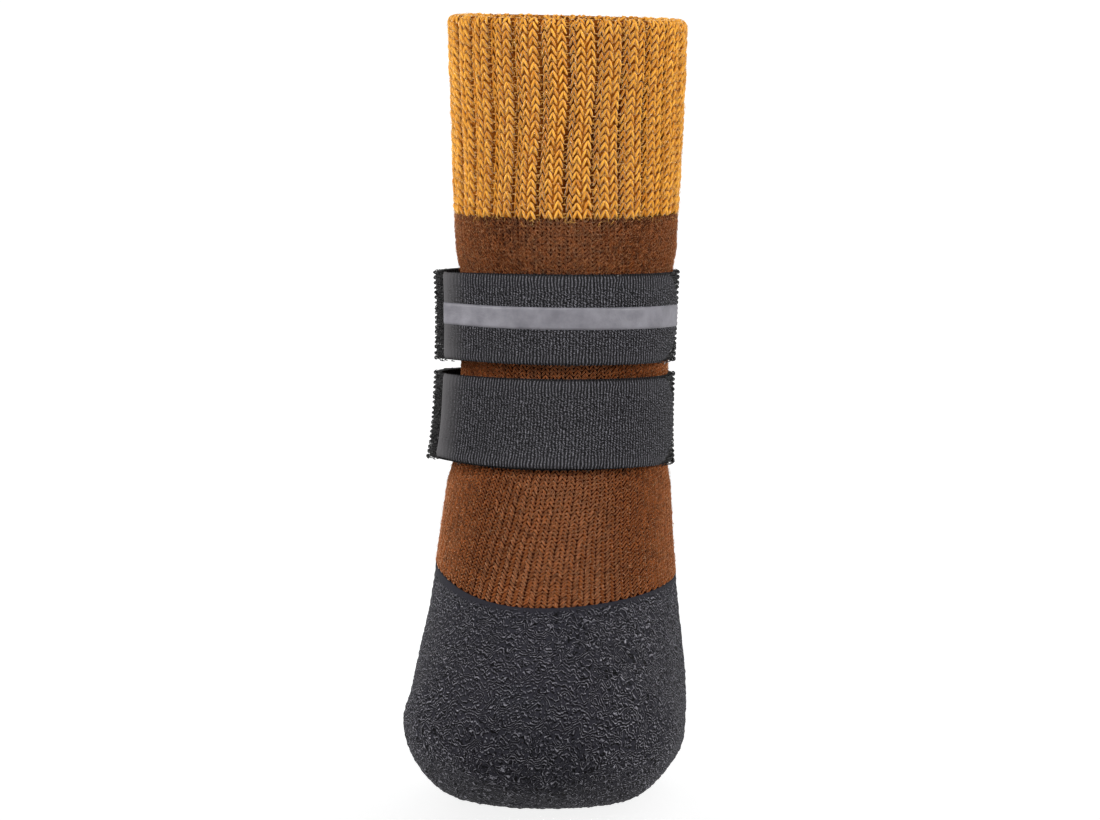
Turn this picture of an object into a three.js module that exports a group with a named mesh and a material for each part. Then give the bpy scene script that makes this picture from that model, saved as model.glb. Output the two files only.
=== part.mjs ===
// Dog sock: a knitted paw sock with a ribbed cuff, its foot dipped in crinkled rubber,
// and two touch-fastened straps round the leg.
// Millimetres, +Z up. The toe points along -Y, the sole lies on z = 0, and the origin is
// on the floor under the middle of the sock.
import * as THREE from "three";

// Driving dimensions of the last
const SOCK_HEIGHT = 175.4;
const TOE_REACH = 65.52;
const TOE_TIP_HEIGHT = 17.6;
const HEEL_REACH = 28;
const FOOT_HALF_WIDTH = 31.6;
// The leg leans over the foot by this much towards +X.
const LEG_LEAN = 2;
// The round foot dips this far below the floor before it is pressed flat on it, and the
// edge of the flat is rounded off over this much height.
const SOLE_SINK = 5;
const SOLE_EDGE = 2.5;
// The toe cap bulges this far beyond its tip, and the leg stands this far behind the middle
// of the whole sock.
const TOE_BULGE = 0.2;
const LEG_AXIS_Y = (TOE_REACH + TOE_BULGE - HEEL_REACH) / 2;

// Knitted wall, its rubber dip and the space left between neighbouring pieces
const KNIT_THICKNESS = 2;
const RUBBER_THICKNESS = 1.2;
const FIT_GAP = 0.35;
const DIP_FRONT_HEIGHT = 46.4;
const DIP_BACK_HEIGHT = 48;

// Ribbed cuff: crests stand proud of the leg and grooves are sunk into it.
const CUFF_END_HEIGHT = 130.4;
const RIB_COUNT = 26;
const RIB_CREST = 0.4;
const RIB_GROOVE = -0.5;

// Two tapes ring the leg, and a strap is sewn to the side of each one.
const TAPE_WIDTH = 20.8;
const TAPE_THICKNESS = 1;
const STRAP_WIDTH = 20;
const STRAP_THICKNESS = 0.9;
const UPPER_STRAP_HEIGHT = 107.5;
const LOWER_STRAP_HEIGHT = 83.9;
// The straps and tapes sit this much lower at the sides than at the front.
const STRAP_DROP = 1;
const STRAP_ROOT_ANGLE = THREE.MathUtils.degToRad(-63);
const STRAP_TIP_ANGLE = THREE.MathUtils.degToRad(80);
// The rounded free end of a strap: how long its corners are, and how tall.
const STRAP_CORNER_LENGTH = 7;
const STRAP_CORNER_HEIGHT = 8.5;
// The tapes stand off the leg at the strap's root, where nothing pulls them tight.
const TAPE_SLACK = 4.5;
const TAPE_SLACK_ANGLE = THREE.MathUtils.degToRad(-80);
const TAPE_SLACK_SPREAD = THREE.MathUtils.degToRad(30);

// Reflective stripe along the upper strap
const STRIPE_WIDTH = 5;
const STRIPE_THICKNESS = 0.3;

// Grid counts
const LAST_COLUMNS = 2 * RIB_COUNT;
const CUFF_STEPS = 3;
const LEG_STEPS = 14;
const FOOT_STEPS = 22;
const INNER_LEG_STEPS = 7;
const INNER_FOOT_STEPS = 9;
const FOOT_LAST_RING = 0.95;
const TAPE_COLUMNS = 56;
const STRAP_ROWS = 3;
const STRAP_STRAIGHT_STEPS = 22;
const STRAP_CORNER_STEPS = 7;

// Sections of the last from rim to toe. Reach is forward of the leg's axis, and each
// section is an ellipse between its front point and its back point, moved sideways by its lean.
const SECTION_COLUMNS = ["frontReach", "frontHeight", "backReach", "backHeight", "halfWidth", "lean"];
const SECTIONS = [
  [24.6, SOCK_HEIGHT, -24.6, SOCK_HEIGHT, 27.4, LEG_LEAN], // rim
  [24.2, 152.5, -24.2, 152.5, 26.6, LEG_LEAN], // middle of the cuff
  [24.5, 129.6, -24.4, 129, 25.7, 0.85 * LEG_LEAN], // end of the cuff
  [25, 107.4, -24.4, 105.4, 24.6, 0.85 * LEG_LEAN], // upper strap
  [25.8, 83.6, -24.4, 80, 24.65, 0.45 * LEG_LEAN], // lower strap
  [30.2, 71.5, -24.8, 62, 26, 0.15 * LEG_LEAN], // ankle
  [36.6, 61, -26.6, 45, 27.3, 0], // instep to the back of the heel
  [43.5, 52.5, -HEEL_REACH, 27, 28.8, 0], // widest of the heel
  [50.5, 46.4, -24, 8, 30.7, 0], // under the heel
  [56.5, 40.7, -9, -SOLE_SINK, FOOT_HALF_WIDTH, 0], // arch
  [60.8, 35.8, 14, -SOLE_SINK, 31.3, 0], // ball of the foot
  [63.4, 31, 36, -SOLE_SINK, 26.6, 0], // toes
  [64.9, 26.8, 58.0, 5.0, 17.2, 0], // round of the toe cap
  [65.6, 22.6, 63.6, 11.4, 8.8, 0], // front of the toe cap
].map((row) => Object.fromEntries(SECTION_COLUMNS.map((name, i) => [name, row[i]])));
const UPPER_STRAP_SECTION = 3;
const BALL_SECTION = 10;

// Side outline of the last, from the front of the rim round the toe to the back of the
// rim, and the half width along it, which changes sign at the toe tip.
const sideOutline = new THREE.CatmullRomCurve3(
  [
    ...SECTIONS.map((s) => new THREE.Vector3(s.lean, LEG_AXIS_Y - s.frontReach, s.frontHeight)),
    new THREE.Vector3(0, LEG_AXIS_Y - TOE_REACH, TOE_TIP_HEIGHT),
    ...SECTIONS.toReversed().map((s) => new THREE.Vector3(s.lean, LEG_AXIS_Y - s.backReach, s.backHeight)),
  ],
  false,
  "catmullrom",
);
const halfWidths = new THREE.CatmullRomCurve3(
  [
    ...SECTIONS.map((s) => new THREE.Vector3(s.halfWidth, 0, 0)),
    new THREE.Vector3(),
    ...SECTIONS.toReversed().map((s) => new THREE.Vector3(-s.halfWidth, 0, 0)),
  ],
  false,
  "catmullrom",
);

// A point on the last: along runs from 0 at the rim to 1 at the toe tip, and angle runs
// round the leg from 0 at the front through the +X side.
function lastPoint(along, angle) {
  const front = sideOutline.getPoint(along / 2);
  const back = sideOutline.getPoint(1 - along / 2);
  const halfWidth = halfWidths.getPoint(along / 2).x;
  const point = front.clone().add(back).multiplyScalar(0.5);
  point.addScaledVector(front.sub(back), Math.cos(angle) / 2);
  point.x += halfWidth * Math.sin(angle);
  point.z = pressedFlat(point.z);
  return point;
}

// A height above the floor, flat where the form would dip below it.
function pressedFlat(height) {
  if (height > SOLE_EDGE) {
    return height;
  }
  return Math.max(0, height + SOLE_EDGE) ** 2 / (4 * SOLE_EDGE);
}

// A point lifted off the last along its outward normal; a negative lift goes inside.
function liftedPoint(along, angle, lift) {
  const step = 1e-3;
  const toeTip = 1 - step;
  const point = lastPoint(along, angle);
  const toe = new THREE.Vector3(0, -1, 0);
  if (along > toeTip) {
    return point.addScaledVector(toe, lift);
  }
  const lengthwise = lastPoint(Math.min(along + step, 1), angle);
  lengthwise.sub(lastPoint(Math.max(along - step, 0), angle));
  const around = lastPoint(along, angle + step).sub(lastPoint(along, angle - step));
  return point.addScaledVector(lengthwise.cross(around).normalize(), lift);
}

// The value between low and high where a falling measure crosses a target.
function crossing(measure, target, low, high) {
  const halvings = 40;
  for (let i = 0; i < halvings; i += 1) {
    const middle = (low + high) / 2;
    if (measure(middle) > target) {
      low = middle;
    } else {
      high = middle;
    }
  }
  return (low + high) / 2;
}

// How far along the last comes down to a given height, at one angle.
function alongAtHeight(angle, height) {
  const ballOfFoot = BALL_SECTION / SECTIONS.length;
  return crossing((along) => lastPoint(along, angle).z, height, 0, ballOfFoot);
}

// How far along the edge of the rubber lies, at one angle and a given rise above it.
function alongAtDip(angle, rise = 0) {
  const swing = (1 - Math.cos(angle)) / 2;
  return alongAtHeight(angle, THREE.MathUtils.lerp(DIP_FRONT_HEIGHT, DIP_BACK_HEIGHT, swing) + rise);
}

// How far along a strap's line of a given front height lies, at one angle.
function alongAtStrap(angle, frontHeight) {
  return alongAtHeight(angle, frontHeight - STRAP_DROP * (1 - Math.cos(angle)));
}

function anglesRound(columns) {
  return Array.from({ length: columns }, (_, i) => (2 * Math.PI * i) / columns);
}

// Evenly spaced values from a first to a last one, both included.
function evenly(first, last, steps) {
  return Array.from({ length: steps + 1 }, (_, i) => THREE.MathUtils.lerp(first, last, i / steps));
}

// A closed surface through rings of points: each ring is joined to the next, and the
// ends are closed by a point each, or else the last ring is joined to the first.
function closedSkin(rings, startPole, endPole) {
  const points = rings.flat();
  const columns = rings[0].length;
  const index = [];
  const ringPairs = startPole ? rings.length - 1 : rings.length;
  for (let r = 0; r < ringPairs; r += 1) {
    const here = r * columns;
    const next = ((r + 1) % rings.length) * columns;
    for (let c = 0; c < columns; c += 1) {
      const d = (c + 1) % columns;
      index.push(here + c, here + d, next + c, here + d, next + d, next + c);
    }
  }
  if (startPole) {
    const last = (rings.length - 1) * columns;
    const start = points.push(startPole) - 1;
    const end = points.push(endPole) - 1;
    for (let c = 0; c < columns; c += 1) {
      const d = (c + 1) % columns;
      index.push(start, d, c, end, last + c, last + d);
    }
  }
  return outward(new THREE.BufferGeometry().setFromPoints(points).setIndex(index));
}

// Turns a closed surface so that its faces point out.
function outward(geometry) {
  const position = geometry.getAttribute("position");
  const index = geometry.getIndex();
  const corner = (i) => new THREE.Vector3().fromBufferAttribute(position, index.getX(i));
  let volume = 0;
  for (let i = 0; i < index.count; i += 3) {
    volume += corner(i).dot(corner(i + 1).cross(corner(i + 2)));
  }
  if (volume < 0) {
    index.array.reverse();
  }
  geometry.computeVertexNormals();
  return geometry;
}

function finish(color, roughness) {
  return new THREE.MeshStandardMaterial({ color, roughness, metalness: 0 });
}

const knitFinish = finish("#6c4028", 0.95);
const rubberFinish = finish("#36353a", 0.6);
const tapeFinish = finish("#2e2d2e", 0.8);
const strapFinish = finish("#3d3c40", 0.85);
const stripeFinish = finish("#85838a", 0.4);

// How far a point of the cuff stands off the last, by its place in the rib.
function ribLift(column) {
  return column % 2 === 0 ? RIB_GROOVE : RIB_CREST;
}

// The upper is knitted whole: cuff, leg and foot are one hollow wall, open at the rim,
// and the foot is stepped in to make room for the rubber.
function knitUpper() {
  const angles = anglesRound(LAST_COLUMNS);
  const cuffEnd = alongAtHeight(0, CUFF_END_HEIGHT);
  const shoulders = angles.map((angle) => alongAtDip(angle));
  const footLift = -RUBBER_THICKNESS - FIT_GAP;
  const ring = (along, lift) =>
    angles.map((angle, c) => liftedPoint(along(c), angle, typeof lift === "number" ? lift : lift(c)));
  const footRings = (share, lift) => ring((c) => THREE.MathUtils.lerp(shoulders[c], 1, share), lift);
  const legRings = (share, lift) => ring((c) => THREE.MathUtils.lerp(cuffEnd, shoulders[c], share), lift);
  const cuffRings = (share, lift) => ring(() => cuffEnd * share, lift);
  const footShares = evenly(0, FOOT_LAST_RING, FOOT_STEPS);
  const legShares = evenly(0, 1, LEG_STEPS);
  const cuffShares = evenly(0, 1, CUFF_STEPS);
  const innerLegShares = evenly(0, 1, INNER_LEG_STEPS);
  const innerFootShares = evenly(0, FOOT_LAST_RING, INNER_FOOT_STEPS);
  const rings = [
    ...footShares.toReversed().map((share) => footRings(share, footLift)),
    ...legShares.toReversed().map((share) => legRings(share, 0)),
    ...cuffShares.toReversed().map((share) => cuffRings(share, ribLift)),
    ...cuffShares.map((share) => cuffRings(share, -KNIT_THICKNESS)),
    ...innerLegShares.slice(1).map((share) => legRings(share, -KNIT_THICKNESS)),
    ...innerFootShares.map((share) => footRings(share, footLift - KNIT_THICKNESS)),
  ];
  return closedSkin(rings, liftedPoint(1, 0, footLift), liftedPoint(1, 0, footLift - KNIT_THICKNESS));
}

// The rubber is a thin cup with the outer shape of the last, flat underneath. Its edge stops
// just short of the step in the knitted wall.
function rubberFoot() {
  const angles = anglesRound(LAST_COLUMNS);
  const shoulders = angles.map((angle) => alongAtDip(angle));
  const edges = angles.map((angle) => alongAtDip(angle, -FIT_GAP));
  const along = (share, c) => (share > 0 ? THREE.MathUtils.lerp(shoulders[c], 1, share) : edges[c]);
  const ring = (share, lift) => angles.map((angle, c) => liftedPoint(along(share, c), angle, lift));
  const shares = evenly(0, FOOT_LAST_RING, FOOT_STEPS);
  const rings = [
    ...shares.toReversed().map((share) => ring(share, 0)),
    ...shares.map((share) => ring(share, -RUBBER_THICKNESS)),
  ];
  return closedSkin(rings, liftedPoint(1, 0, 0), liftedPoint(1, 0, -RUBBER_THICKNESS));
}

// How far the inside of a tape stands off the leg.
function tapeLift(angle) {
  const turn = Math.atan2(Math.sin(angle - TAPE_SLACK_ANGLE), Math.cos(angle - TAPE_SLACK_ANGLE));
  return FIT_GAP + TAPE_SLACK * Math.exp(-((turn / TAPE_SLACK_SPREAD) ** 2));
}

// A tape is a band right round the leg.
function tape(height) {
  const angles = anglesRound(TAPE_COLUMNS);
  const heights = evenly(height + TAPE_WIDTH / 2, height - TAPE_WIDTH / 2, STRAP_ROWS);
  const ring = (frontHeight, thickness) =>
    angles.map((angle) => liftedPoint(alongAtStrap(angle, frontHeight), angle, tapeLift(angle) + thickness));
  const rings = [
    ...heights.map((frontHeight) => ring(frontHeight, TAPE_THICKNESS)),
    ...heights.toReversed().map((frontHeight) => ring(frontHeight, 0)),
  ];
  return closedSkin(rings);
}

// A strip lying over a tape from one angle to another, with a half width at each angle.
function strip(height, angles, halfWidthAt, rows, lift, thickness) {
  const section = (angle) => {
    const half = halfWidthAt(angle);
    const alongs = evenly(height + half, height - half, rows).map((h) => alongAtStrap(angle, h));
    const base = tapeLift(angle) + TAPE_THICKNESS + lift;
    return [
      ...alongs.map((along) => liftedPoint(along, angle, base + thickness)),
      ...alongs.toReversed().map((along) => liftedPoint(along, angle, base)),
    ];
  };
  const sections = angles.map(section);
  const middle = (points) =>
    points.reduce((sum, p) => sum.add(p), new THREE.Vector3()).divideScalar(points.length);
  return closedSkin(sections, middle(sections[0]), middle(sections.at(-1)));
}

// Angles of a strap from its root to its tip, closer together round the free end.
const strapRadius = SECTIONS[UPPER_STRAP_SECTION].halfWidth + FIT_GAP + TAPE_THICKNESS;
const strapCornerAngle = STRAP_TIP_ANGLE - STRAP_CORNER_LENGTH / strapRadius;
const strapAngles = [
  ...evenly(STRAP_ROOT_ANGLE, strapCornerAngle, STRAP_STRAIGHT_STEPS),
  ...evenly(0, Math.PI / 2, STRAP_CORNER_STEPS)
    .slice(1)
    .map((turn) => strapCornerAngle + (STRAP_TIP_ANGLE - strapCornerAngle) * Math.sin(turn)),
];

// Half the strap's width at one angle: full along its length, rounded off at its tip.
function strapHalfWidth(angle) {
  const round = (angle - strapCornerAngle) / (STRAP_TIP_ANGLE - strapCornerAngle);
  const bow = Math.sqrt(Math.max(0, 1 - Math.max(0, round) ** 2));
  return STRAP_WIDTH / 2 - STRAP_CORNER_HEIGHT * (1 - bow);
}

function strap(height) {
  return strip(height, strapAngles, strapHalfWidth, STRAP_ROWS, FIT_GAP, STRAP_THICKNESS);
}

// The stripe runs the length of the upper strap and stops just short of its tip.
function reflectiveStripe() {
  const angles = strapAngles.slice(1, -1);
  const lift = FIT_GAP + STRAP_THICKNESS + FIT_GAP;
  return strip(UPPER_STRAP_HEIGHT, angles, () => STRIPE_WIDTH / 2, 1, lift, STRIPE_THICKNESS);
}

function piece(name, geometry, material) {
  const mesh = new THREE.Mesh(geometry, material);
  mesh.name = name;
  return mesh;
}

const dogSock = new THREE.Group();
dogSock.add(
  piece("knit_upper", knitUpper(), knitFinish),
  piece("rubber_foot", rubberFoot(), rubberFinish),
  piece("tape_upper", tape(UPPER_STRAP_HEIGHT), tapeFinish),
  piece("tape_lower", tape(LOWER_STRAP_HEIGHT), tapeFinish),
  piece("strap_upper", strap(UPPER_STRAP_HEIGHT), strapFinish),
  piece("strap_lower", strap(LOWER_STRAP_HEIGHT), strapFinish),
  piece("reflective_stripe", reflectiveStripe(), stripeFinish),
);

export default dogSock;
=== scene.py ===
# %% [markdown]
# # A knitted dog sock, dressed in Blender
#
# The sock is a thick knitted tube with a ribbed mustard cuff and a brown leg. Its foot has been
# dipped in rubber that crinkled as it dried, and two straps close round the leg with hook tape.
# Everything here is first laid out flat, as a maker lays out yarn, tape and webbing, and is then
# wrapped round one form, the last. The frame gives the solids that these pieces stand for.

# %% Load the frame
import math

import bpy
import numpy as np
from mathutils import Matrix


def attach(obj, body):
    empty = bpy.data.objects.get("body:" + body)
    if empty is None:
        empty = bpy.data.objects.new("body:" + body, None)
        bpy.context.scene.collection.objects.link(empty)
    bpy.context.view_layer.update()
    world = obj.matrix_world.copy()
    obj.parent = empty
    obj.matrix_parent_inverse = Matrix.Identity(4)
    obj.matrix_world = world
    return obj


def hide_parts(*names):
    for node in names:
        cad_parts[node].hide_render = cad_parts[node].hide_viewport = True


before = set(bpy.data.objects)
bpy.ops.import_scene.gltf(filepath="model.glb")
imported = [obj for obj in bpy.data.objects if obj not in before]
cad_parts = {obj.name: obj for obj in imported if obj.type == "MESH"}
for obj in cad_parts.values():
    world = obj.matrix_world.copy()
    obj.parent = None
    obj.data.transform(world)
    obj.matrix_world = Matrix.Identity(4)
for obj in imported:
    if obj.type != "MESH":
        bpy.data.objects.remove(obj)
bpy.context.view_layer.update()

MM = 0.001

# %% [markdown]
# ## The last
#
# A shoemaker works over a last, a block with the shape of the foot. Ours is a short table of
# ellipses from the rim to the toes, joined by smooth curves. A place on it is given by how far
# along it lies, the angle round it, and how far it is lifted off the surface, so a flat pattern
# can be wrapped on it by turning its own x, y and z into those three.

# %% Sections of the last, in millimetres
TOE_REACH = 65.52
TOE_BULGE = 0.2
TOE_TIP_HEIGHT = 17.6
HEEL_REACH = 28.0
SOCK_HEIGHT = 175.4
SOLE_SINK = 5.0
SOLE_EDGE = 2.5
LEG_LEAN = 2.0
LEG_AXIS_Y = (TOE_REACH + TOE_BULGE - HEEL_REACH) / 2

# Columns: front reach, front height, back reach, back height, half width, lean.
SECTIONS = np.array([
    [24.6, SOCK_HEIGHT, -24.6, SOCK_HEIGHT, 27.4, LEG_LEAN],
    [24.2, 152.5, -24.2, 152.5, 26.6, LEG_LEAN],
    [24.5, 129.6, -24.4, 129.0, 25.7, 0.85 * LEG_LEAN],
    [25.0, 107.4, -24.4, 105.4, 24.6, 0.85 * LEG_LEAN],
    [25.8, 83.6, -24.4, 80.0, 24.65, 0.45 * LEG_LEAN],
    [30.2, 71.5, -24.8, 62.0, 26.0, 0.15 * LEG_LEAN],
    [36.6, 61.0, -26.6, 45.0, 27.3, 0.0],
    [43.5, 52.5, -HEEL_REACH, 27.0, 28.8, 0.0],
    [50.5, 46.4, -24.0, 8.0, 30.7, 0.0],
    [56.5, 40.7, -9.0, -SOLE_SINK, 31.6, 0.0],
    [60.8, 35.8, 14.0, -SOLE_SINK, 31.3, 0.0],
    [63.4, 31.0, 36.0, -SOLE_SINK, 26.6, 0.0],
    [64.9, 26.8, 58.0, 5.0, 17.2, 0.0],
    [65.6, 22.6, 63.6, 11.4, 8.8, 0.0],
])
BALL_SECTION = 10
HALVINGS = 32

# The side outline runs from the front of the rim round the toe to the back of the rim, and its
# last column is the half width, which changes sign at the toe tip.
front_rows = SECTIONS[:, [5, 0, 1, 4]]
back_rows = SECTIONS[::-1][:, [5, 2, 3, 4]] * [1, 1, 1, -1]
outline = np.vstack([front_rows, [[0, TOE_REACH, TOE_TIP_HEIGHT, 0]], back_rows])
outline[:, 1] = LEG_AXIS_Y - outline[:, 1]
outline = np.vstack([2 * outline[0] - outline[1], outline, 2 * outline[-1] - outline[-2]])


def smooth_step(value):
    value = np.clip(value, 0, 1)
    return value * value * (3 - 2 * value)


def outline_at(where):
    """A smooth curve through the outline's rows; where runs from 0 to 1."""
    spans = len(outline) - 3
    row = np.clip((where * spans).astype(int), 0, spans - 1)
    f = (where * spans - row)[..., None]
    before, start, stop, after = (outline[row + i] for i in range(4))
    leave, arrive = (stop - before) / 2, (after - start) / 2
    bend = 3 * (stop - start) - 2 * leave - arrive
    twist = 2 * (start - stop) + leave + arrive
    return start + leave * f + bend * f**2 + twist * f**3


def last_point(along, angle):
    """Points on the last: along is 0 at the rim and 1 at the toe, angle is 0 at the front."""
    front, back = outline_at(along / 2), outline_at(1 - along / 2)
    middle, arm = (front + back) / 2, (front - back) / 2
    point = (middle + arm * np.cos(angle)[..., None])[..., :3]
    point[..., 0] += front[..., 3] * np.sin(angle)
    height = point[..., 2]
    pressed = np.maximum(height + SOLE_EDGE, 0) ** 2 / (4 * SOLE_EDGE)
    point[..., 2] = np.where(height > SOLE_EDGE, height, pressed)
    return point


def lifted(along, angle, lift):
    """Points in metres, lifted off the last along its outward normal by millimetres."""
    step = 1e-3
    along, angle = np.clip(along, 0, 1), np.asarray(angle, float)
    inside = np.clip(along, step, 1 - step)
    lengthwise = last_point(inside + step, angle) - last_point(inside - step, angle)
    around = last_point(inside, angle + step) - last_point(inside, angle - step)
    normal = np.cross(lengthwise, around)
    normal /= np.linalg.norm(normal, axis=-1, keepdims=True)
    return (last_point(along, angle) + normal * np.asarray(lift)[..., None]) * MM


def along_at_height(angle, height):
    """How far along the last comes down to a height, by halving the range again and again."""
    low = np.zeros(np.broadcast(angle, height).shape)
    high = np.full(low.shape, BALL_SECTION / len(SECTIONS))
    for _ in range(HALVINGS):
        middle = (low + high) / 2
        above = last_point(middle, angle)[..., 2] > height
        low, high = np.where(above, middle, low), np.where(above, high, middle)
    return (low + high) / 2


print("toe tip at", last_point(np.array([1.0]), np.array([0.0])).round(2))

# %% [markdown]
# ## Lines that the pattern follows
#
# Knitting has even rows, so the rows have to be even on the surface too. For each angle the
# length of the line down the last is measured, and a table then turns a share of that length
# into a place along the last. There is one such table for the cuff, one for the leg down to the
# rubber, and one for the rubber down to the toe.

# %% Even lines between two edges
CUFF_END_HEIGHT = 130.4
DIP_FRONT_HEIGHT = 46.4
DIP_BACK_HEIGHT = 48.0
DIP_SIDE_RISE = 3.6
ANGLE_STEPS = 180
SHARE_STEPS = 200

table_angles = np.linspace(-math.pi, math.pi, ANGLE_STEPS + 1)
cuff_end = along_at_height(np.zeros_like(table_angles), CUFF_END_HEIGHT)


def dip_height(angle):
    """Height of the rubber's edge, which climbs towards the back and a little on one side."""
    back = (1 - np.cos(angle)) / 2
    side = np.maximum(0, -np.sin(angle)) ** 2
    return DIP_FRONT_HEIGHT + (DIP_BACK_HEIGHT - DIP_FRONT_HEIGHT) * back + DIP_SIDE_RISE * side


dip_edge = along_at_height(table_angles, dip_height(table_angles))


def even_lines(start, stop):
    """A table of places along the last, evenly spaced on each line from start to stop."""
    fine = np.linspace(0, 1, 4 * SHARE_STEPS)
    shares = np.linspace(0, 1, SHARE_STEPS + 1)
    rows = []
    for angle, first, last in zip(table_angles, start, stop):
        places = first + (last - first) * fine
        points = last_point(places, np.full_like(places, angle))
        length = np.append(0, np.cumsum(np.linalg.norm(np.diff(points, axis=0), axis=1)))
        rows.append(np.interp(shares, length / length[-1], places))
    return np.array(rows)


def along_on(lines, angle, share):
    """Reads an even table between its entries."""
    turn = (angle + math.pi) % (2 * math.pi) / (2 * math.pi) * ANGLE_STEPS
    step = np.clip(share, 0, 1) * SHARE_STEPS
    a = np.minimum(turn.astype(int), ANGLE_STEPS - 1)
    s = np.minimum(step.astype(int), SHARE_STEPS - 1)
    fa = turn - a
    fs = step - s
    near = lines[a, s] * (1 - fs) + lines[a, s + 1] * fs
    far = lines[a + 1, s] * (1 - fs) + lines[a + 1, s + 1] * fs
    return near * (1 - fa) + far * fa


cuff_lines = even_lines(np.zeros_like(table_angles), cuff_end)
leg_lines = even_lines(cuff_end, dip_edge)
foot_lines = even_lines(dip_edge, np.ones_like(table_angles))
print("edge of the rubber lies between", dip_edge.min().round(3), "and", dip_edge.max().round(3))

# %% [markdown]
# ## Camera, floor and light
#
# The sock is seen from the front and a little from the right, by a long lens that stands slightly
# higher than the rim. The floor is pale, the sky is white, and soft lights stand in front and at
# both sides, because the rubber and the yarn are both lighter along their edges.

# %% Camera
CAMERA_AZIMUTH = math.radians(6)
CAMERA_DISTANCE = 0.90
CAMERA_HEIGHT = 0.192
CAMERA_AIM = (0.0, 0.0, 0.0865)
CAMERA_LENS = 128


def look_at(obj, target):
    """Turns a camera or a light so that it faces a point."""
    gap = [t - p for t, p in zip(target, obj.location)]
    flat = math.hypot(gap[0], gap[1])
    pitch = math.pi / 2 + math.atan2(gap[2], flat)
    obj.rotation_euler = (pitch, 0, math.atan2(gap[1], gap[0]) - math.pi / 2)


bpy.ops.object.camera_add(location=(
    CAMERA_DISTANCE * math.sin(CAMERA_AZIMUTH),
    LEG_AXIS_Y * MM - CAMERA_DISTANCE * math.cos(CAMERA_AZIMUTH),
    CAMERA_HEIGHT,
))
camera = bpy.context.object
camera.name = "camera"
camera.data.lens = CAMERA_LENS
look_at(camera, CAMERA_AIM)
bpy.context.scene.camera = camera
print("camera at", [round(v, 3) for v in camera.location])

# %% Floor, sky and lights
FLOOR_SIZE = 6.0
WALL_HEIGHT = 3.0
SWEEP = 2.0
SWEEP_STEPS = 16
SKY_STRENGTH = 0.22
LIGHT_AIM = (0, 0, 0.08)


def unselect(mesh):
    for items in (mesh.vertices, mesh.edges, mesh.polygons):
        items.foreach_set("select", np.zeros(len(items), bool))


def choose_edges(obj, test):
    """Selects the edges whose two ends pass a test, ready for edit mode."""
    unselect(obj.data)
    for edge in obj.data.edges:
        if all(test(obj.data.vertices[i].co) for i in edge.vertices):
            edge.select = True
            for i in edge.vertices:
                obj.data.vertices[i].select = True


bpy.ops.mesh.primitive_plane_add(size=FLOOR_SIZE)
floor = bpy.context.object
floor.name = "floor"
choose_edges(floor, lambda co: co.y > 0)
bpy.ops.object.mode_set(mode="EDIT")
bpy.ops.mesh.select_mode(type="EDGE")
bpy.ops.mesh.extrude_region_move(TRANSFORM_OT_translate={"value": (0, 0, WALL_HEIGHT)})
bpy.ops.object.mode_set(mode="OBJECT")
choose_edges(floor, lambda co: co.y > 0 and co.z < 0.1)
bpy.ops.object.mode_set(mode="EDIT")
bpy.ops.mesh.bevel(offset=SWEEP, segments=SWEEP_STEPS, affect="EDGES")
bpy.ops.mesh.normals_make_consistent(inside=False)
bpy.ops.object.mode_set(mode="OBJECT")
bpy.ops.object.shade_smooth()

LIGHTS = [
    ("left_light", (-0.75, -0.30, 0.45), 0.35, 6.6),
    ("right_light", (0.75, -0.25, 0.42), 0.35, 6.9),
    ("front_light", (-0.20, -0.95, 1.0), 0.40, 9.0),
]
for name, place, size, watts in LIGHTS:
    bpy.ops.object.light_add(type="AREA", location=place)
    lamp = bpy.context.object
    lamp.name = name
    lamp.data.shape = "DISK"
    lamp.data.size = size
    lamp.data.energy = watts
    look_at(lamp, LIGHT_AIM)

sky = bpy.data.worlds.new("white_sky")
sky.use_nodes = True
sky.node_tree.nodes["Background"].inputs["Color"].default_value = (1, 1, 1, 1)
sky.node_tree.nodes["Background"].inputs["Strength"].default_value = SKY_STRENGTH
bpy.context.scene.world = sky
bpy.context.scene.view_settings.view_transform = "Standard"
print("floor has", len(floor.data.polygons), "faces; lights:", [name for name, *_ in LIGHTS])

# %% [markdown]
# ## Helpers for finishes
#
# Each finish is one material whose colour, roughness and bump come from small textures made by
# nodes. Short helpers keep the node code readable: one adds a node and sets its values, one starts
# a material with its shader, and the others add the nodes that are used most.

# %% Node helpers
def socket_name(key):
    return key.replace("_", " ").title().replace("Ior", "IOR")


def node(tree, kind, **values):
    """Adds a node; links sockets to inputs by name, and sets values at inputs or settings."""
    made = tree.nodes.new(kind)
    for key, value in values.items():
        title = socket_name(key)
        if isinstance(value, bpy.types.NodeSocket):
            tree.links.new(value, made.inputs[title])
        elif title in made.inputs:
            made.inputs[title].default_value = value
        else:
            setattr(made, key, value)
    return made


def feed(shader, **sockets):
    """Links sockets to the shader's inputs of the same names."""
    for key, socket in sockets.items():
        shader.id_data.links.new(socket, shader.inputs[socket_name(key)])


def math_node(tree, operation, first, second=0.5):
    """A Math node on two sockets or numbers; gives its output."""
    made = tree.nodes.new("ShaderNodeMath")
    made.operation = operation
    for socket, value in zip(made.inputs, (first, second)):
        if isinstance(value, (int, float)):
            socket.default_value = value
        else:
            tree.links.new(value, socket)
    return made.outputs[0]


def times(tree, first, second):
    return math_node(tree, "MULTIPLY", first, second)


def plus(tree, first, second):
    return math_node(tree, "ADD", first, second)


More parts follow.
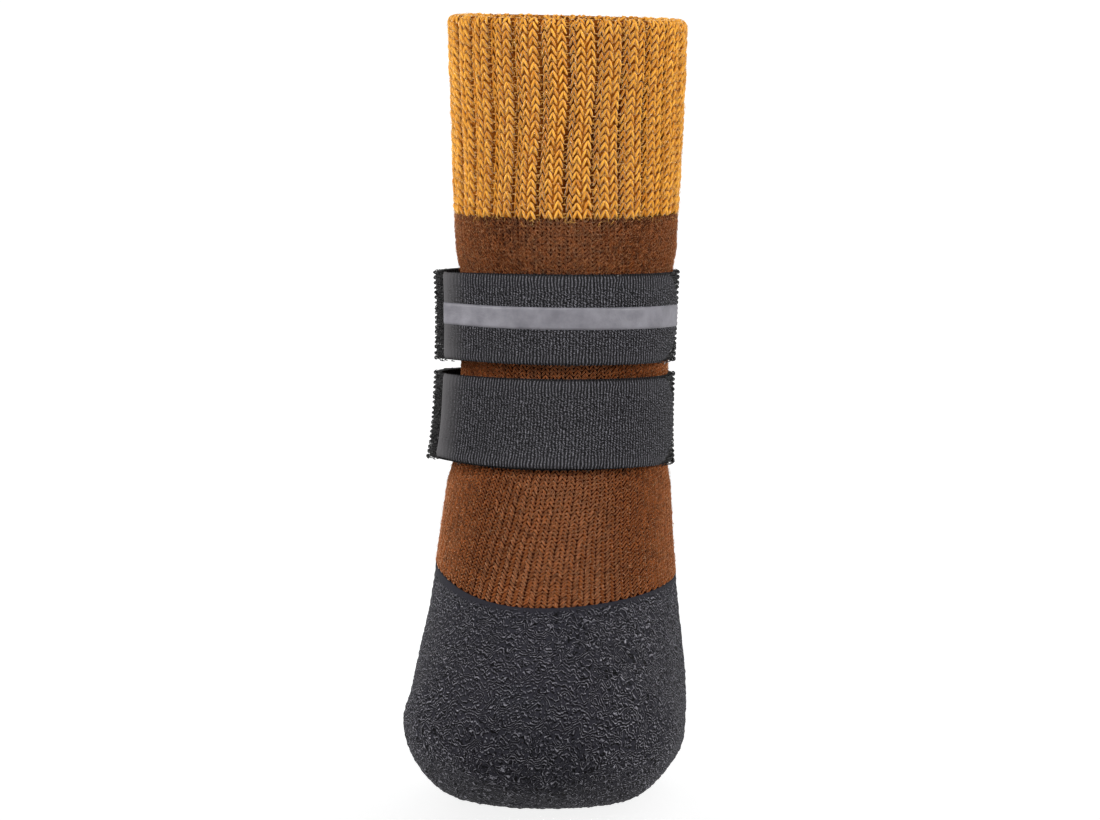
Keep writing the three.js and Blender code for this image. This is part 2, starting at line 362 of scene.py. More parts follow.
def ramp(tree, factor, stops):
    """A colour ramp: stops are places with a colour or a grey."""
    made = node(tree, "ShaderNodeValToRGB", fac=factor)
    marks = made.color_ramp.elements
    while len(marks) < len(stops):
        marks.new(0.5)
    for mark, (place, colour) in zip(marks, stops):
        mark.position = place
        mark.color = (colour,) * 3 + (1,) if isinstance(colour, (int, float)) else (*colour, 1)
    return made.outputs["Color"]


def noise(tree, coordinates, scale, detail=2.0, roughness=0.5):
    made = node(tree, "ShaderNodeTexNoise", scale=scale, detail=detail, roughness=roughness)
    tree.links.new(coordinates, made.inputs["Vector"])
    return made.outputs["Fac"]


def bump(tree, height, distance, strength=1.0, under=None):
    made = node(tree, "ShaderNodeBump", strength=strength, distance=distance, height=height)
    if under is not None:
        tree.links.new(under, made.inputs["Normal"])
    return made.outputs["Normal"]


def finish(name, **values):
    """Starts a material; gives it with its node tree and shader."""
    material = bpy.data.materials.new(name)
    material.use_nodes = True
    tree = material.node_tree
    shader = tree.nodes["Principled BSDF"]
    for key, value in values.items():
        shader.inputs[socket_name(key)].default_value = value
    return material, tree, shader


# %% Pale floor
pale, tree, shader = finish(
    "pale_floor", roughness=1.0, emission_color=(1, 1, 1, 1), emission_strength=0.85)
place = node(tree, "ShaderNodeTexCoord").outputs["Object"]
paleness = ramp(tree, noise(tree, place, 3.0), [(0.3, 0.42), (0.7, 0.44)])
feed(shader, base_color=paleness)
floor.data.materials.append(pale)
print("floor finish:", pale.name)

# %% [markdown]
# ## Yarn
#
# The yarn is a soft spun cotton. Its fibres twist round the strand, and short ends stand out of
# it, so the edge of a knit looks lighter than its middle. Sheen gives that pale edge, and a
# streaky noise that runs along each stitch gives the fibres. The streaks read the stitch's own
# UV map, and a softer noise on Object coordinates varies the dye a little.

# %% Yarn finish
FIBRE_STRETCH = (9, 2.2, 1)
FIBRE_SLANT = 0.5
DYE_SCALE = 900.0
FUZZ_SCALE = 5200.0
# What the streaks of fibres, the dye and the strand's tone, which holds painted shade for sunken and
# covered strands, each add to the colour.
FIBRE_SHARE = 0.4
DYE_SHARE = 0.35
TONE_SHARE = 0.25


def yarn_finish(name, shade, colour, tint, sheen):
    material, tree, shader = finish(
        name, roughness=0.9, sheen_weight=sheen, sheen_roughness=0.25,
        sheen_tint=(*tint, 1), specular_ior_level=0.15)
    coordinates = node(tree, "ShaderNodeTexCoord")
    stretch = node(
        tree, "ShaderNodeMapping", vector=coordinates.outputs["UV"],
        scale=FIBRE_STRETCH, rotation=(0, 0, FIBRE_SLANT))
    fibres = noise(tree, stretch.outputs["Vector"], 2.0, 4.0, 0.7)
    dye = noise(tree, coordinates.outputs["Object"], DYE_SCALE, 3.0)
    tone = node(tree, "ShaderNodeAttribute", attribute_name="tone").outputs["Fac"]
    blend = times(tree, fibres, FIBRE_SHARE)
    blend = plus(tree, blend, times(tree, dye, DYE_SHARE))
    blend = plus(tree, blend, times(tree, tone, TONE_SHARE))
    dyed = ramp(tree, blend, [(0.36, shade), (0.62, colour)])
    fuzz = noise(tree, coordinates.outputs["Object"], FUZZ_SCALE, 2.0)
    normal = bump(tree, fibres, 0.0002, 0.7)
    feed(shader, base_color=dyed, normal=bump(tree, fuzz, 0.0001, 0.35, normal))
    return material


mustard_yarn = yarn_finish(
    "mustard_yarn", (0.49, 0.172, 0.0130), (0.75, 0.360, 0.047), (1.0, 0.98, 0.80), 1.0)
mustard_fluff = yarn_finish(
    "mustard_fluff", (0.50, 0.200, 0.026), (0.76, 0.410, 0.085), (1.0, 0.94, 0.70), 0.6)
brown_yarn = yarn_finish(
    "brown_yarn", (0.068, 0.0185, 0.0051), (0.306, 0.0880, 0.0225), (1.0, 0.58, 0.34), 1.0)
brown_fluff = yarn_finish(
    "brown_fluff", (0.11, 0.030, 0.0075), (0.335, 0.094, 0.0230), (1.0, 0.54, 0.28), 1.0)
# brown_halo is a paler brown for loose fibres: painted light, for the pale glow of fibres along the
# outline.
brown_halo = yarn_finish(
    "brown_halo", (0.20, 0.074, 0.025), (0.46, 0.185, 0.070), (1.0, 0.66, 0.42), 1.0)
print("five yarns, from", mustard_yarn.name, "to", brown_halo.name)

# %% [markdown]
# ## One stitch
#
# This knit hangs upside down, as it came off the machine, so each stitch is an arrowhead that
# points up: two strands that lean together at the top and tuck behind the stitch below. A strand
# is a small stretched sphere, so one strand is modelled, turned and copied. Array modifiers then
# knit the flat panel, as many small things are best made as one joined mesh.

# %% Strands and panels
rng = np.random.default_rng(7)


def strand(half_size, place, lean, tuck, segments, rings):
    """One plump strand: x across, y up the panel and z out of it, in millimetres."""
    across, length, thick = half_size
    bpy.ops.mesh.primitive_uv_sphere_add(
        segments=segments, ring_count=rings, radius=1, location=place,
        rotation=(math.pi / 2 + tuck, 0, lean), scale=(across, thick, length))
    bpy.ops.object.transform_apply()
    return bpy.context.object


def named(obj, name):
    """Gives an object and its mesh one name."""
    obj.name = name
    obj.data.name = name
    return obj


def joined(parts, name):
    """Joins new objects into the first of them."""
    bpy.ops.object.select_all(action="DESELECT")
    for part in parts:
        part.select_set(True)
    bpy.context.view_layer.objects.active = parts[0]
    bpy.ops.object.join()
    return named(bpy.context.object, name)


def stitch(middle, spread, half_size, lean, tuck, segments=6, rings=5):
    """The two strands of one stitch, leaning together at the top."""
    return [
        strand(half_size, (middle + s * spread, 0, 0), s * lean, tuck, segments, rings)
        for s in (-1, 1)
    ]


def pick(obj):
    bpy.ops.object.select_all(action="DESELECT")
    obj.select_set(True)
    bpy.context.view_layer.objects.active = obj


def modified(obj, kind, **settings):
    """Adds a modifier, sets it up and applies it."""
    pick(obj)
    modifier = obj.modifiers.new(kind.lower(), kind)
    for key, value in settings.items():
        setattr(modifier, key, value)
    bpy.ops.object.modifier_apply(modifier=modifier.name)


def repeated(obj, count, step):
    """Copies of a mesh in a row, with a fixed step."""
    modified(
        obj, "ARRAY", count=count, use_relative_offset=False, use_constant_offset=True,
        constant_offset_displace=step)


def mesh_points(obj):
    flat = np.empty(3 * len(obj.data.vertices))
    obj.data.vertices.foreach_get("co", flat)
    return flat.reshape(-1, 3)


def set_points(obj, points):
    obj.data.vertices.foreach_set("co", np.ascontiguousarray(points, float).ravel())
    obj.data.update()


def without(obj, hidden):
    """Deletes the vertices that a mask names, in edit mode."""
    pick(obj)
    unselect(obj.data)
    obj.data.vertices.foreach_set("select", hidden)
    bpy.ops.object.mode_set(mode="EDIT")
    bpy.ops.mesh.select_mode(type="VERT")
    bpy.ops.mesh.delete(type="VERT")
    bpy.ops.object.mode_set(mode="OBJECT")


def tint(obj, values):
    """Stores a tone from 0 to 1 at each vertex, which the finishes of the knit read; on the wall and on
    some strands it carries painted shade.
    """
    store = obj.data.attributes.new("tone", "FLOAT", "POINT")
    store.data.foreach_set("value", np.clip(values, 0, 1).astype(float))


def dress(obj, material, node_name):
    """Finishes a piece: smooth shading, its material, and its place in the frame."""
    pick(obj)
    bpy.ops.object.shade_smooth()
    obj.data.materials.append(material)
    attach(obj, "root")
    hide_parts(node_name)
    print(obj.name, "has", sum(len(p.vertices) - 2 for p in obj.data.polygons), "triangles")


# %% [markdown]
# ## Ribbed cuff
#
# The cuff is knitted in a rib of three columns: two stand out side by side as a ridge, and the
# third sinks back beside a narrow dark groove, where the crossing threads show as a ladder. One
# rib of one row is modelled, repeated down and round, and wrapped on the last. The first rows
# turn in over the rim.

# %% Cuff
RIB_COUNT = 26
CUFF_ROWS = 27
RIB_PITCH = 6.21
CUFF_ROW = 1.89
CUFF_WALE = 2.2
GROOVE = 2.5
BACK_WALE = 3.5
FRONT_SPREAD = 0.48
BACK_SPREAD = 0.36
RIB_CREST = -0.2
RIM_ROUND = 1.9
RIM_TILT = 1.2
SWAY = 0.02
LAST_ROW_RISE = 0.9
SHIFT_FADE = 12
CUFF_LENGTH = SOCK_HEIGHT - CUFF_END_HEIGHT
CUFF_SPAN = (CUFF_ROWS - 1) * CUFF_ROW
RIB_ACROSS = [-1.2, -0.6, 0.9, 1.85, 2.5, 3.0, 3.7, 4.4, 5.01]
RIB_LIFT = [-0.12, 0.0, 0.0, -0.25, -1.05, -0.72, -0.62, -0.42, -0.12]

# The strands of one rib in one row: two stitches in front, one behind, and a thread across.
STRAND_POINTS = [26, 26, 26, 26, 18, 18, 10]
# The back stitch and the thread across have lower tones: painted shade, as they sit sunk in the groove.
STRAND_TONES = [0.6, 0.6, 0.6, 0.6, 0.25, 0.25, 0.3]
STRAND_COLUMNS = np.array([0, 0, 1, 1, 2, 2, 3])
RIB_COLUMNS = 4
CUFF_WOBBLE = [0.07, 0.10, 0.08]
CUFF_TONE_SPREAD = 0.25


def sway(angle, down):
    """Ribs wander a little to the side on their way down."""
    return SWAY * np.sin(down / 8 + 3 * np.sin(angle)) * smooth_step(down / 20)


def rib_lift(across, down):
    """How high the ribs stand at a length across the flat pattern."""
    across = (across - RIB_ACROSS[0]) % RIB_PITCH + RIB_ACROSS[0]
    return RIB_CREST + np.interp(across, RIB_ACROSS, RIB_LIFT) * smooth_step(0.45 + down / 5)


def tilted_rim(points, angle, share):
    """The rim sits a little lower on one side."""
    points[:, 2] -= RIM_TILT * MM * (0.5 + 0.5 * np.sin(angle)) * np.clip(1 - share, 0, 1)
    return points


def on_cuff(angle, down, lift):
    """Points on the cuff: down is the length below the rim, which is rounded inwards."""
    turn = np.clip((RIM_ROUND - down) / RIM_ROUND, 0, 3)
    share = np.maximum(down, RIM_ROUND) / CUFF_LENGTH
    along = along_on(cuff_lines, angle, share)
    base = lifted(along, angle, np.full_like(angle, -RIM_ROUND))
    outward = (lifted(along, angle, np.zeros_like(angle)) - base) / (RIM_ROUND * MM)
    reach = (RIM_ROUND + lift) * MM
    points = base + outward * (reach * np.cos(turn))[:, None]
    points[:, 2] += reach * np.sin(turn)
    points[:, 2] -= np.maximum(share - 1, 0) * CUFF_LENGTH * MM
    return tilted_rim(points, angle, share)


# Half sizes of a strand, its lean and its tuck; the back stitch has fewer sides.
front_stitch = ((0.31, 1.32, 0.42), math.radians(22), math.radians(10))
back_stitch = ((0.29, 1.32, 0.36), math.radians(17), math.radians(10), 4, 5)
cuff = joined(
    stitch(-CUFF_WALE / 2, FRONT_SPREAD, *front_stitch)
    + stitch(CUFF_WALE / 2, FRONT_SPREAD, *front_stitch)
    + stitch(BACK_WALE, BACK_SPREAD, *back_stitch)
    + [strand((0.15, 0.6, 0.16), (GROOVE, 0.2, -0.1), math.pi / 2, 0, 4, 3)],
    "cuff_ribs")
repeated(cuff, CUFF_ROWS, (0, -CUFF_ROW, 0))
repeated(cuff, RIB_COUNT, (RIB_PITCH, 0, 0))

flat = mesh_points(cuff)
repeats = CUFF_ROWS * RIB_COUNT
strand_count = len(STRAND_POINTS) * repeats
strand_of = np.repeat(np.arange(strand_count), np.tile(STRAND_POINTS, repeats))
wobble = rng.normal(0, 1, (strand_count, 3))[strand_of]
flat = flat + wobble * CUFF_WOBBLE
column_of = strand_of // (len(STRAND_POINTS) * CUFF_ROWS) * RIB_COLUMNS
column_of += STRAND_COLUMNS[strand_of % len(STRAND_POINTS)]
from_edge = smooth_step((flat[:, 1] + CUFF_SPAN) / SHIFT_FADE)
column_shift = rng.uniform(-0.5, 0.5, RIB_COLUMNS * RIB_COUNT)[column_of] * CUFF_ROW
flat[:, 1] += column_shift * (0.25 + 0.75 * from_edge)
tones = np.tile(STRAND_TONES, repeats) + CUFF_TONE_SPREAD * rng.normal(0, 1, strand_count)
tint(cuff, tones[strand_of])
cuff_angle = flat[:, 0] / (RIB_PITCH * RIB_COUNT) * 2 * math.pi
cuff_down = CUFF_LENGTH - LAST_ROW_RISE - (flat[:, 1] + CUFF_SPAN)
cuff_lift = flat[:, 2] + rib_lift(flat[:, 0], cuff_down)
set_points(cuff, on_cuff(cuff_angle + sway(cuff_angle, cuff_down), cuff_down, cuff_lift))
dress(cuff, mustard_yarn, "knit_upper")

# %% [markdown]
# ## Brown leg
#
# The leg is plain knitting: the same arrowhead in every column. The straps draw it in a little, and
# what their tapes hide is deleted again. Near the foot the columns lean and fan out as the last
# widens. A leg with no paw in it sags into a few soft troughs and ridges. They are listed in
# a short table, a row for each, because a random noise would never crease where cloth does. The rows
# of stitches are split into two pieces, so that neither grows too heavy.

# %% Where the straps draw the knit in
UPPER_STRAP_HEIGHT = 107.5
LOWER_STRAP_HEIGHT = 83.9
STRAP_DROP = 1.0
TAPE_WIDTH = 20.8
PINCH = 0.5
PINCH_FADE = 5.0


def under_tape(points, angle):
    """How far below a tape's edge a point lies, in millimetres; negative outside the tapes."""
    heights = points[:, 2] / MM + STRAP_DROP * (1 - np.cos(angle))
    gap = np.minimum(np.abs(heights - UPPER_STRAP_HEIGHT), np.abs(heights - LOWER_STRAP_HEIGHT))
    return TAPE_WIDTH / 2 - gap


# Each fold: angle at its middle, height at its middle, rise over its half length, half length round
# the leg, half width up the leg, and how far it stands out or sinks in, all in degrees and mm.
SOFT_FOLDS = (
    (-4, 63, 3, 34, 4.5, -0.55),
    (10, 70.5, -2, 30, 3.5, 0.35),
    (-48, 60, 4, 24, 4.0, -0.60),
    (52, 61, 5, 26, 4.0, -0.60),
    (-120, 58, 6, 40, 5.0, -0.70),
    (125, 60, 5, 36, 5.0, -0.65),
    (178, 70, 2, 40, 5.0, -0.55),
    (30, 122, -2, 30, 5.0, -0.35),
    (-60, 119, 3, 28, 5.0, -0.30),
)


def fold_depth(angle, height):
    """Sum of the soft folds: each fades out at its ends and to both sides."""
    total = np.zeros_like(angle)
    for middle, level, rise, half_turn, half_width, amount in SOFT_FOLDS:
        turn = (angle - math.radians(middle) + math.pi) % (2 * math.pi) - math.pi
        reach = turn / math.radians(half_turn)
        off_line = (height - level - rise * reach) / half_width
        total += amount * smooth_step(1 - np.abs(reach)) * smooth_step(1 - np.abs(off_line))
    return total


def on_leg(lines, angle, share, lift):
    """Points on the leg, sunk where a tape presses on it and along the soft folds."""
    along = along_on(lines, angle, share)
    surface = lifted(along, angle, np.zeros_like(angle))
    depth = under_tape(surface, angle)
    lift = lift + fold_depth(angle, surface[:, 2] / MM)
    return lifted(along, angle, lift - PINCH * smooth_step(1 + depth / PINCH_FADE)), depth


print("leg has", len(SOFT_FOLDS), "soft folds, the deepest", min(fold[-1] for fold in SOFT_FOLDS), "mm")

# %% Leg
LEG_WALES = 82
LEG_ROWS = 96
LEG_WALE = 1.9
LEG_ROW = 0.9
LEG_TWIST = math.radians(-8)
LEG_FAN = math.radians(10)
ANKLE_ROW = 62
LEG_STRAND = (0.215, 0.82, 0.34)
LEG_SPREAD = 0.45
LEG_LEAN_IN = math.radians(35)
LEG_TUCK = math.radians(10)
LEG_WOBBLE = 0.035
LEG_SINK = 0.4
FIRST_ROW_DROP = 0.4
LEG_TONE = 0.5
LEG_TONE_SPREAD = 0.12
# The top rows of the leg, just under the cuff, get a lower tone: painted shade from the cuff above.
UNDER_CUFF_SHADE = 0.4
UNDER_CUFF_SHADE_SHARE = 0.18
FAN_START = 0.55
FAN_SPAN = 0.45
HIDDEN_DEPTH = 1.2


def leg_panel(name, first_row, rows):
    """Some rows of the leg as one piece."""
    panel = joined(stitch(0, LEG_SPREAD, LEG_STRAND, LEG_LEAN_IN, LEG_TUCK, 4, 4), name)
    repeated(panel, rows, (0, -LEG_ROW, 0))
    repeated(panel, LEG_WALES, (LEG_WALE, 0, 0))
    flat = mesh_points(panel)
    count = 2 * rows * LEG_WALES
    strand_of = np.repeat(np.arange(count), len(flat) // count)
    flat = flat + rng.normal(0, 1, (count, 3))[strand_of] * LEG_WOBBLE
    angle = flat[:, 0] / (LEG_WALE * LEG_WALES) * 2 * math.pi
    share = (FIRST_ROW_DROP + first_row - flat[:, 1] / LEG_ROW) / LEG_ROWS
    # Painted shade: the rows just under the cuff are given a lower tone.
    tones = LEG_TONE - UNDER_CUFF_SHADE * (share < UNDER_CUFF_SHADE_SHARE)
    tint(panel, tones + LEG_TONE_SPREAD * rng.normal(0, 1, count)[strand_of])
    angle += (LEG_TWIST + LEG_FAN * np.sin(angle)) * smooth_step((share - FAN_START) / FAN_SPAN)
    points, depth = on_leg(leg_lines, angle, share, flat[:, 2] - LEG_SINK)
    set_points(panel, points)
    strand_depth = np.bincount(strand_of, depth) / np.bincount(strand_of)
    without(panel, (strand_depth > HIDDEN_DEPTH)[strand_of])
    dress(panel, brown_yarn, "knit_upper")


leg_panel("leg_knit", 0, ANKLE_ROW)
leg_panel("ankle_knit", ANKLE_ROW, LEG_ROWS - ANKLE_ROW)

# %% [markdown]
# ## Fuzz
#
# A brushed knit is covered with short loose fibres. Each fibre is a thin, bent spike of three
# sides, and thousands of them are written into one mesh. They lie mostly flat, so from the front
# they blur the stitches, and along the outline they stand out as a pale halo; the halo fibres are
# a paler brown, painted light for that glow.

# %% Fibres
SOCK_RADIUS = 26
LEG_LENGTH = 86.0
LEG_FIBRE_SINK = 0.15
CUFF_FIBRE_SINK = 0.2

# A fibre has three points at its root, three half way and one at its tip.
FIBRE_POINTS = 7
FIBRE_FACES = np.array([
    [0, 2, 1], [0, 1, 4], [0, 4, 3], [1, 2, 5], [1, 5, 4],
    [2, 0, 3], [2, 3, 5], [3, 4, 6], [4, 5, 6], [5, 3, 6],
])


def fibres(place, count, downs, lengths, rise, width):
    """Bent spikes at seeded places; place turns angle, length down and lift into points."""
    angle = rng.uniform(-math.pi, math.pi, count)
    down = rng.uniform(*downs, count)
    heading = rng.uniform(0, 2 * math.pi, count)
    length = rng.uniform(*lengths, count)
    bend = rng.normal(0, 0.7, count)
    top = rng.uniform(*rise, count)
    steps = []
    for t, thick in ((0, 1.0), (0.55, 0.8), (1, 0)):
        x = length * t * np.cos(heading + bend * t)
        y = length * t * np.sin(heading + bend * t)
        for corner in (0, 1, 2) if thick else (0,):
            turn = corner * 2 * math.pi / 3
            side = np.cos(turn) * width * thick
            steps.append(place(
                angle + (x - np.sin(heading) * side) / SOCK_RADIUS, down + y + np.cos(heading) * side,
                top * math.sqrt(t) + np.sin(turn) * width * thick))
    points = np.stack(steps, axis=1).reshape(-1, 3)
    faces = (FIBRE_FACES[None] + FIBRE_POINTS * np.arange(count)[:, None, None]).reshape(-1, 3)
    mesh = bpy.data.meshes.new("fuzz")
    mesh.from_pydata(points.tolist(), [], faces.tolist())
    made = bpy.data.objects.new("fuzz", mesh)
    bpy.context.collection.objects.link(made)
    tint(made, (0.7 + 0.3 * rng.normal(0, 1, count)).repeat(FIBRE_POINTS))
    return made


def leg_fibre_place(angle, down, lift):
    return on_leg(leg_lines, angle, down / LEG_LENGTH, lift - LEG_FIBRE_SINK)[0]


def cuff_fibre_place(angle, down, lift):
    return on_cuff(angle, down, lift - CUFF_FIBRE_SINK)


def fuzz_piece(name, place, material, bands):
    dress(joined([fibres(place, *band) for band in bands], name), material, "knit_upper")


# Each band: number of fibres, ranges of length down, own length and rise, and half width, in mm.
fuzz_piece("leg_fuzz", leg_fibre_place, brown_fluff, [
    (7000, (1.0, 14.0), (0.8, 2.0), (0.05, 0.5), 0.045),
    (900, (33.0, 38.0), (0.8, 1.8), (0.05, 0.5), 0.045),
    (1800, (55.0, 85.0), (0.6, 1.5), (0.05, 0.45), 0.04),
])
fuzz_piece("cuff_fuzz", cuff_fibre_place, mustard_fluff, [
    (5000, (-0.5, 46.0), (0.8, 2.2), (0.2, 0.8), 0.045),
    (3500, (1.0, 45.0), (0.7, 1.7), (0.0, 0.4), 0.06),
])
fuzz_piece("leg_halo", leg_fibre_place, brown_halo, [
    (500, (1.0, 14.0), (0.7, 1.5), (0.2, 0.65), 0.045),
    (1500, (55.0, 85.0), (0.7, 1.5), (0.2, 0.65), 0.045),
])

# %% [markdown]
# ## Wall of the sock
#
# Behind the stitches the knit is a closed wall that can be looked into from the top. It starts
# as a flat grid. Each row of the grid is given a line, a share of it and a lift, so that the
# rows run up the outside to the rim and back down the inside. Its colour follows its depth, which
# is kept in an attribute: the deep places get painted shade, so the grooves between the ribs, and
# the wall seen between the leg's stitches, are painted darker than the crests.

# %% Grids that are wrapped row by row
OUTSIDE = -0.95
CUFF_OUTSIDE = -0.62
INSIDE = -2.2
DEEPEST = -2.4
DEPTH_RANGE = 1.6
WELD = 2e-6


def flat_grid(name, columns, rows):
    """A flat grid one unit wide and high, round its middle."""
    bpy.ops.mesh.primitive_grid_add(x_subdivisions=columns, y_subdivisions=rows, size=1)
    return named(bpy.context.object, name)


def welded(obj):
    """Joins points that meet, as where a grid closes, and turns the faces outwards."""
    pick(obj)
    bpy.ops.object.mode_set(mode="EDIT")
    bpy.ops.mesh.select_all(action="SELECT")
    bpy.ops.mesh.remove_doubles(threshold=WELD)
    bpy.ops.mesh.normals_make_consistent(inside=False)
    bpy.ops.object.mode_set(mode="OBJECT")


def wrapped_grid(name, columns, rows):
    """A grid closed into a tube: rows are (lines, share, lift), from one end to the other."""
    tube = flat_grid(name, columns, len(rows) - 1)
    flat = mesh_points(tube)
    row_of = np.rint((flat[:, 1] + 0.5) * (len(rows) - 1)).astype(int)
    angle = (flat[:, 0] + 0.5) * 2 * math.pi
    points = np.empty_like(flat)
    depth = np.empty(len(flat))
    for r, (lines, share, lift) in enumerate(rows):
        here = row_of == r
        turn = angle[here]
        shares = np.full(len(turn), share)
        lifts = np.full(len(turn), lift)
        if lines is leg_lines:
            points[here] = on_leg(lines, turn, shares, lifts)[0]
        else:
            if lines is cuff_lines and lift == CUFF_OUTSIDE:
                down = shares * CUFF_LENGTH
                across = (turn - sway(turn, down)) / (2 * math.pi) * RIB_PITCH * RIB_COUNT
                lifts = lifts + rib_lift(across, down)
            points[here] = lifted(along_on(lines, turn, shares), turn, lifts)
            if lines is cuff_lines:
                points[here] = tilted_rim(points[here], turn, shares)
        depth[here] = lifts
    set_points(tube, points)
    tint(tube, (depth - DEEPEST) / DEPTH_RANGE)
    welded(tube)
    return tube


# %% Wall
WALL_COLUMNS = 156
FOOT_OUTSIDE = -1.6
FOOT_INSIDE = -3.4
wall_rows = (
    [(foot_lines, s, FOOT_OUTSIDE) for s in np.linspace(1, 0, 20)]
    + [(leg_lines, s, OUTSIDE) for s in np.linspace(1, 0.01, 70)]
    + [(cuff_lines, s, CUFF_OUTSIDE) for s in np.linspace(1, 0.04, 20)]
    + [(cuff_lines, 0.008, -1.5), (cuff_lines, 0.001, -1.75), (cuff_lines, 0.001, -2.0)]
    + [(cuff_lines, s, INSIDE) for s in np.linspace(0.01, 1, 20)]
    + [(leg_lines, s, INSIDE) for s in np.linspace(0.02, 1, 30)]
    + [(foot_lines, s, FOOT_INSIDE) for s in np.linspace(0, 1, 20)]
)
wall = wrapped_grid("sock_wall", WALL_COLUMNS, wall_rows)

wall_knit, tree, shader = finish("wall_knit", roughness=0.95, specular_ior_level=0.05)
place = node(tree, "ShaderNodeTexCoord").outputs["Object"]
split = node(tree, "ShaderNodeSeparateXYZ", vector=place)
edge = math_node(tree, "GREATER_THAN", split.outputs["Z"], CUFF_END_HEIGHT * MM)
height = node(tree, "ShaderNodeAttribute", attribute_name="tone").outputs["Fac"]
height = times(tree, height, 0.45)
# The leg reads the lower half of the ramp and the cuff the upper half, each from deep to shallow. The
# deep places get painted shade: the wall behind the leg's stitches is nearly black, and the cuff's
# grooves are dark.
area = plus(tree, times(tree, edge, 0.5), height)
painted_depth_shade = ramp(tree, area, [
    (0.06, (0.10, 0.032, 0.010)), (0.44, (0.028, 0.0076, 0.0024)),
    (0.56, (0.40, 0.14, 0.016)), (0.64, (0.085, 0.018, 0.0018)),
    (0.80, (0.18, 0.045, 0.0036)), (0.94, (0.40, 0.130, 0.012))])
rows = node(
    tree, "ShaderNodeTexWave", vector=place, bands_direction="Z", scale=190.0,
    distortion=0.8, detail=1.0)
loops = noise(tree, place, 900.0, 2.0)
normal = bump(tree, rows.outputs["Fac"], 0.0003)
feed(shader, base_color=painted_depth_shade, normal=bump(tree, loops, 0.0006, 1.0, normal))
dress(wall, wall_knit, "knit_upper")

# %% [markdown]
# ## Crinkled rubber
#
# The foot is dipped in rubber that shrinks as it sets and puckers into short, worm-like wrinkles.
# The cup is a fine grid on the last. A Displace modifier with a hard noise makes the larger
# pillows, and a vertex group fades it out at the smooth edge of the dip. The finest wrinkles follow
# contour lines, as on a map, of the height with two noises added. The same lines are worked out
# again about 0.3 mm higher, and where the two differ the colour gets painted light and painted
# shade: a painted highlight on one side of a ridge and painted shade in its crease, as a lamp from
# above would light them.

# %% Rubber cup
RUBBER_COLUMNS = 340
RUBBER_THICKNESS = 1.2
RUBBER_ROWS = 165
MARGIN = 0.9
FADE_LEVELS = 10
LEAST_RELIEF = 0.75
MORE_AT_SIDES = 0.7
MORE_UNDERNEATH = 0.3
rubber_rows = (
    [(foot_lines, s, -0.1) for s in np.linspace(1, 0, RUBBER_ROWS)]
    + [(foot_lines, 0.0, lift) for lift in (-0.4, -0.9)]
    + [(foot_lines, s, -RUBBER_THICKNESS) for s in np.linspace(0, 1, 12)]
)
rubber = wrapped_grid("rubber_cup", RUBBER_COLUMNS, rubber_rows)

before = mesh_points(rubber)
around = np.arctan2(before[:, 0], LEG_AXIS_Y * MM - before[:, 1])
below_edge = dip_height(around) - before[:, 2] / MM
fade_in = np.clip(below_edge / MARGIN - 0.2, 0, 1)
crinkle = rubber.vertex_groups.new(name="crinkle")
for level in range(FADE_LEVELS + 1):
    chosen = np.nonzero(np.rint(fade_in * FADE_LEVELS).astype(int) == level)[0]
    crinkle.add(chosen.tolist(), level / FADE_LEVELS, "REPLACE")
pillows = bpy.data.textures.new("pillows", "CLOUDS")
pillows.noise_scale = 0.0015
pillows.noise_depth = 1
pillows.noise_type = "HARD_NOISE"
pillows.noise_basis = "ORIGINAL_PERLIN"
modified(
    rubber, "DISPLACE", texture=pillows, texture_coords="LOCAL", strength=0.0006, mid_level=0.6,
    vertex_group=crinkle.name)
after = mesh_points(rubber)
after[:, 2] = np.maximum(after[:, 2], 0)
set_points(rubber, after)
normals = np.empty(len(after) * 3)
rubber.data.vertex_normals.foreach_get("vector", normals)
normals = normals.reshape(-1, 3)
# Towards the sides and underneath, the bump of the creases and their painted light and shade are made
# stronger: painted contrast standing in for light grazing the crinkles.
stronger_at_sides = MORE_AT_SIDES * normals[:, 0] ** 2 + MORE_UNDERNEATH * np.clip(-normals[:, 2], 0, 1)
relief_and_painted_contrast = fade_in * (LEAST_RELIEF + stronger_at_sides)
rubber.data.attributes.new("relief_and_painted_contrast", "FLOAT", "POINT").data.foreach_set("value", relief_and_painted_contrast)
print("wrinkles are shown up to", relief_and_painted_contrast.max().round(2), "times as strong at the sides")

# %% Rubber finish
CREASES_PER_METRE = 580.0
FLOW_SCALE = 390.0
WRIGGLE_SCALE = 1200.0
# BESIDE is the step, up and back, at which the crease lines are worked out again for the painted light
# and shade.
BESIDE = (0.00008, 0.00013, 0.00028)
rubber_skin, tree, shader = finish("dipped_rubber", roughness=0.7, specular_ior_level=0.08)
place = node(tree, "ShaderNodeTexCoord").outputs["Object"]
beside = node(tree, "ShaderNodeVectorMath", operation="ADD", vector=place)
beside.inputs[1].default_value = BESIDE


def creases(tree, place):
    """Worm-like ridges along the contour lines of the height and two noises."""
    split = node(tree, "ShaderNodeSeparateXYZ", vector=place)
    flow = times(tree, noise(tree, place, FLOW_SCALE, 0.0), 6.0)
    wriggle = times(tree, noise(tree, place, WRIGGLE_SCALE, 0.8), 2.2)
    level = plus(tree, times(tree, split.outputs["Z"], CREASES_PER_METRE), flow)
    level = math_node(tree, "FRACT", plus(tree, level, wriggle))
    profile = [(0.0, 0.0), (0.30, 0.0), (0.5, 1.0), (0.62, 1.0), (0.82, 0.0), (1.0, 0.0)]
    return ramp(tree, level, profile)


ridges = creases(tree, place)
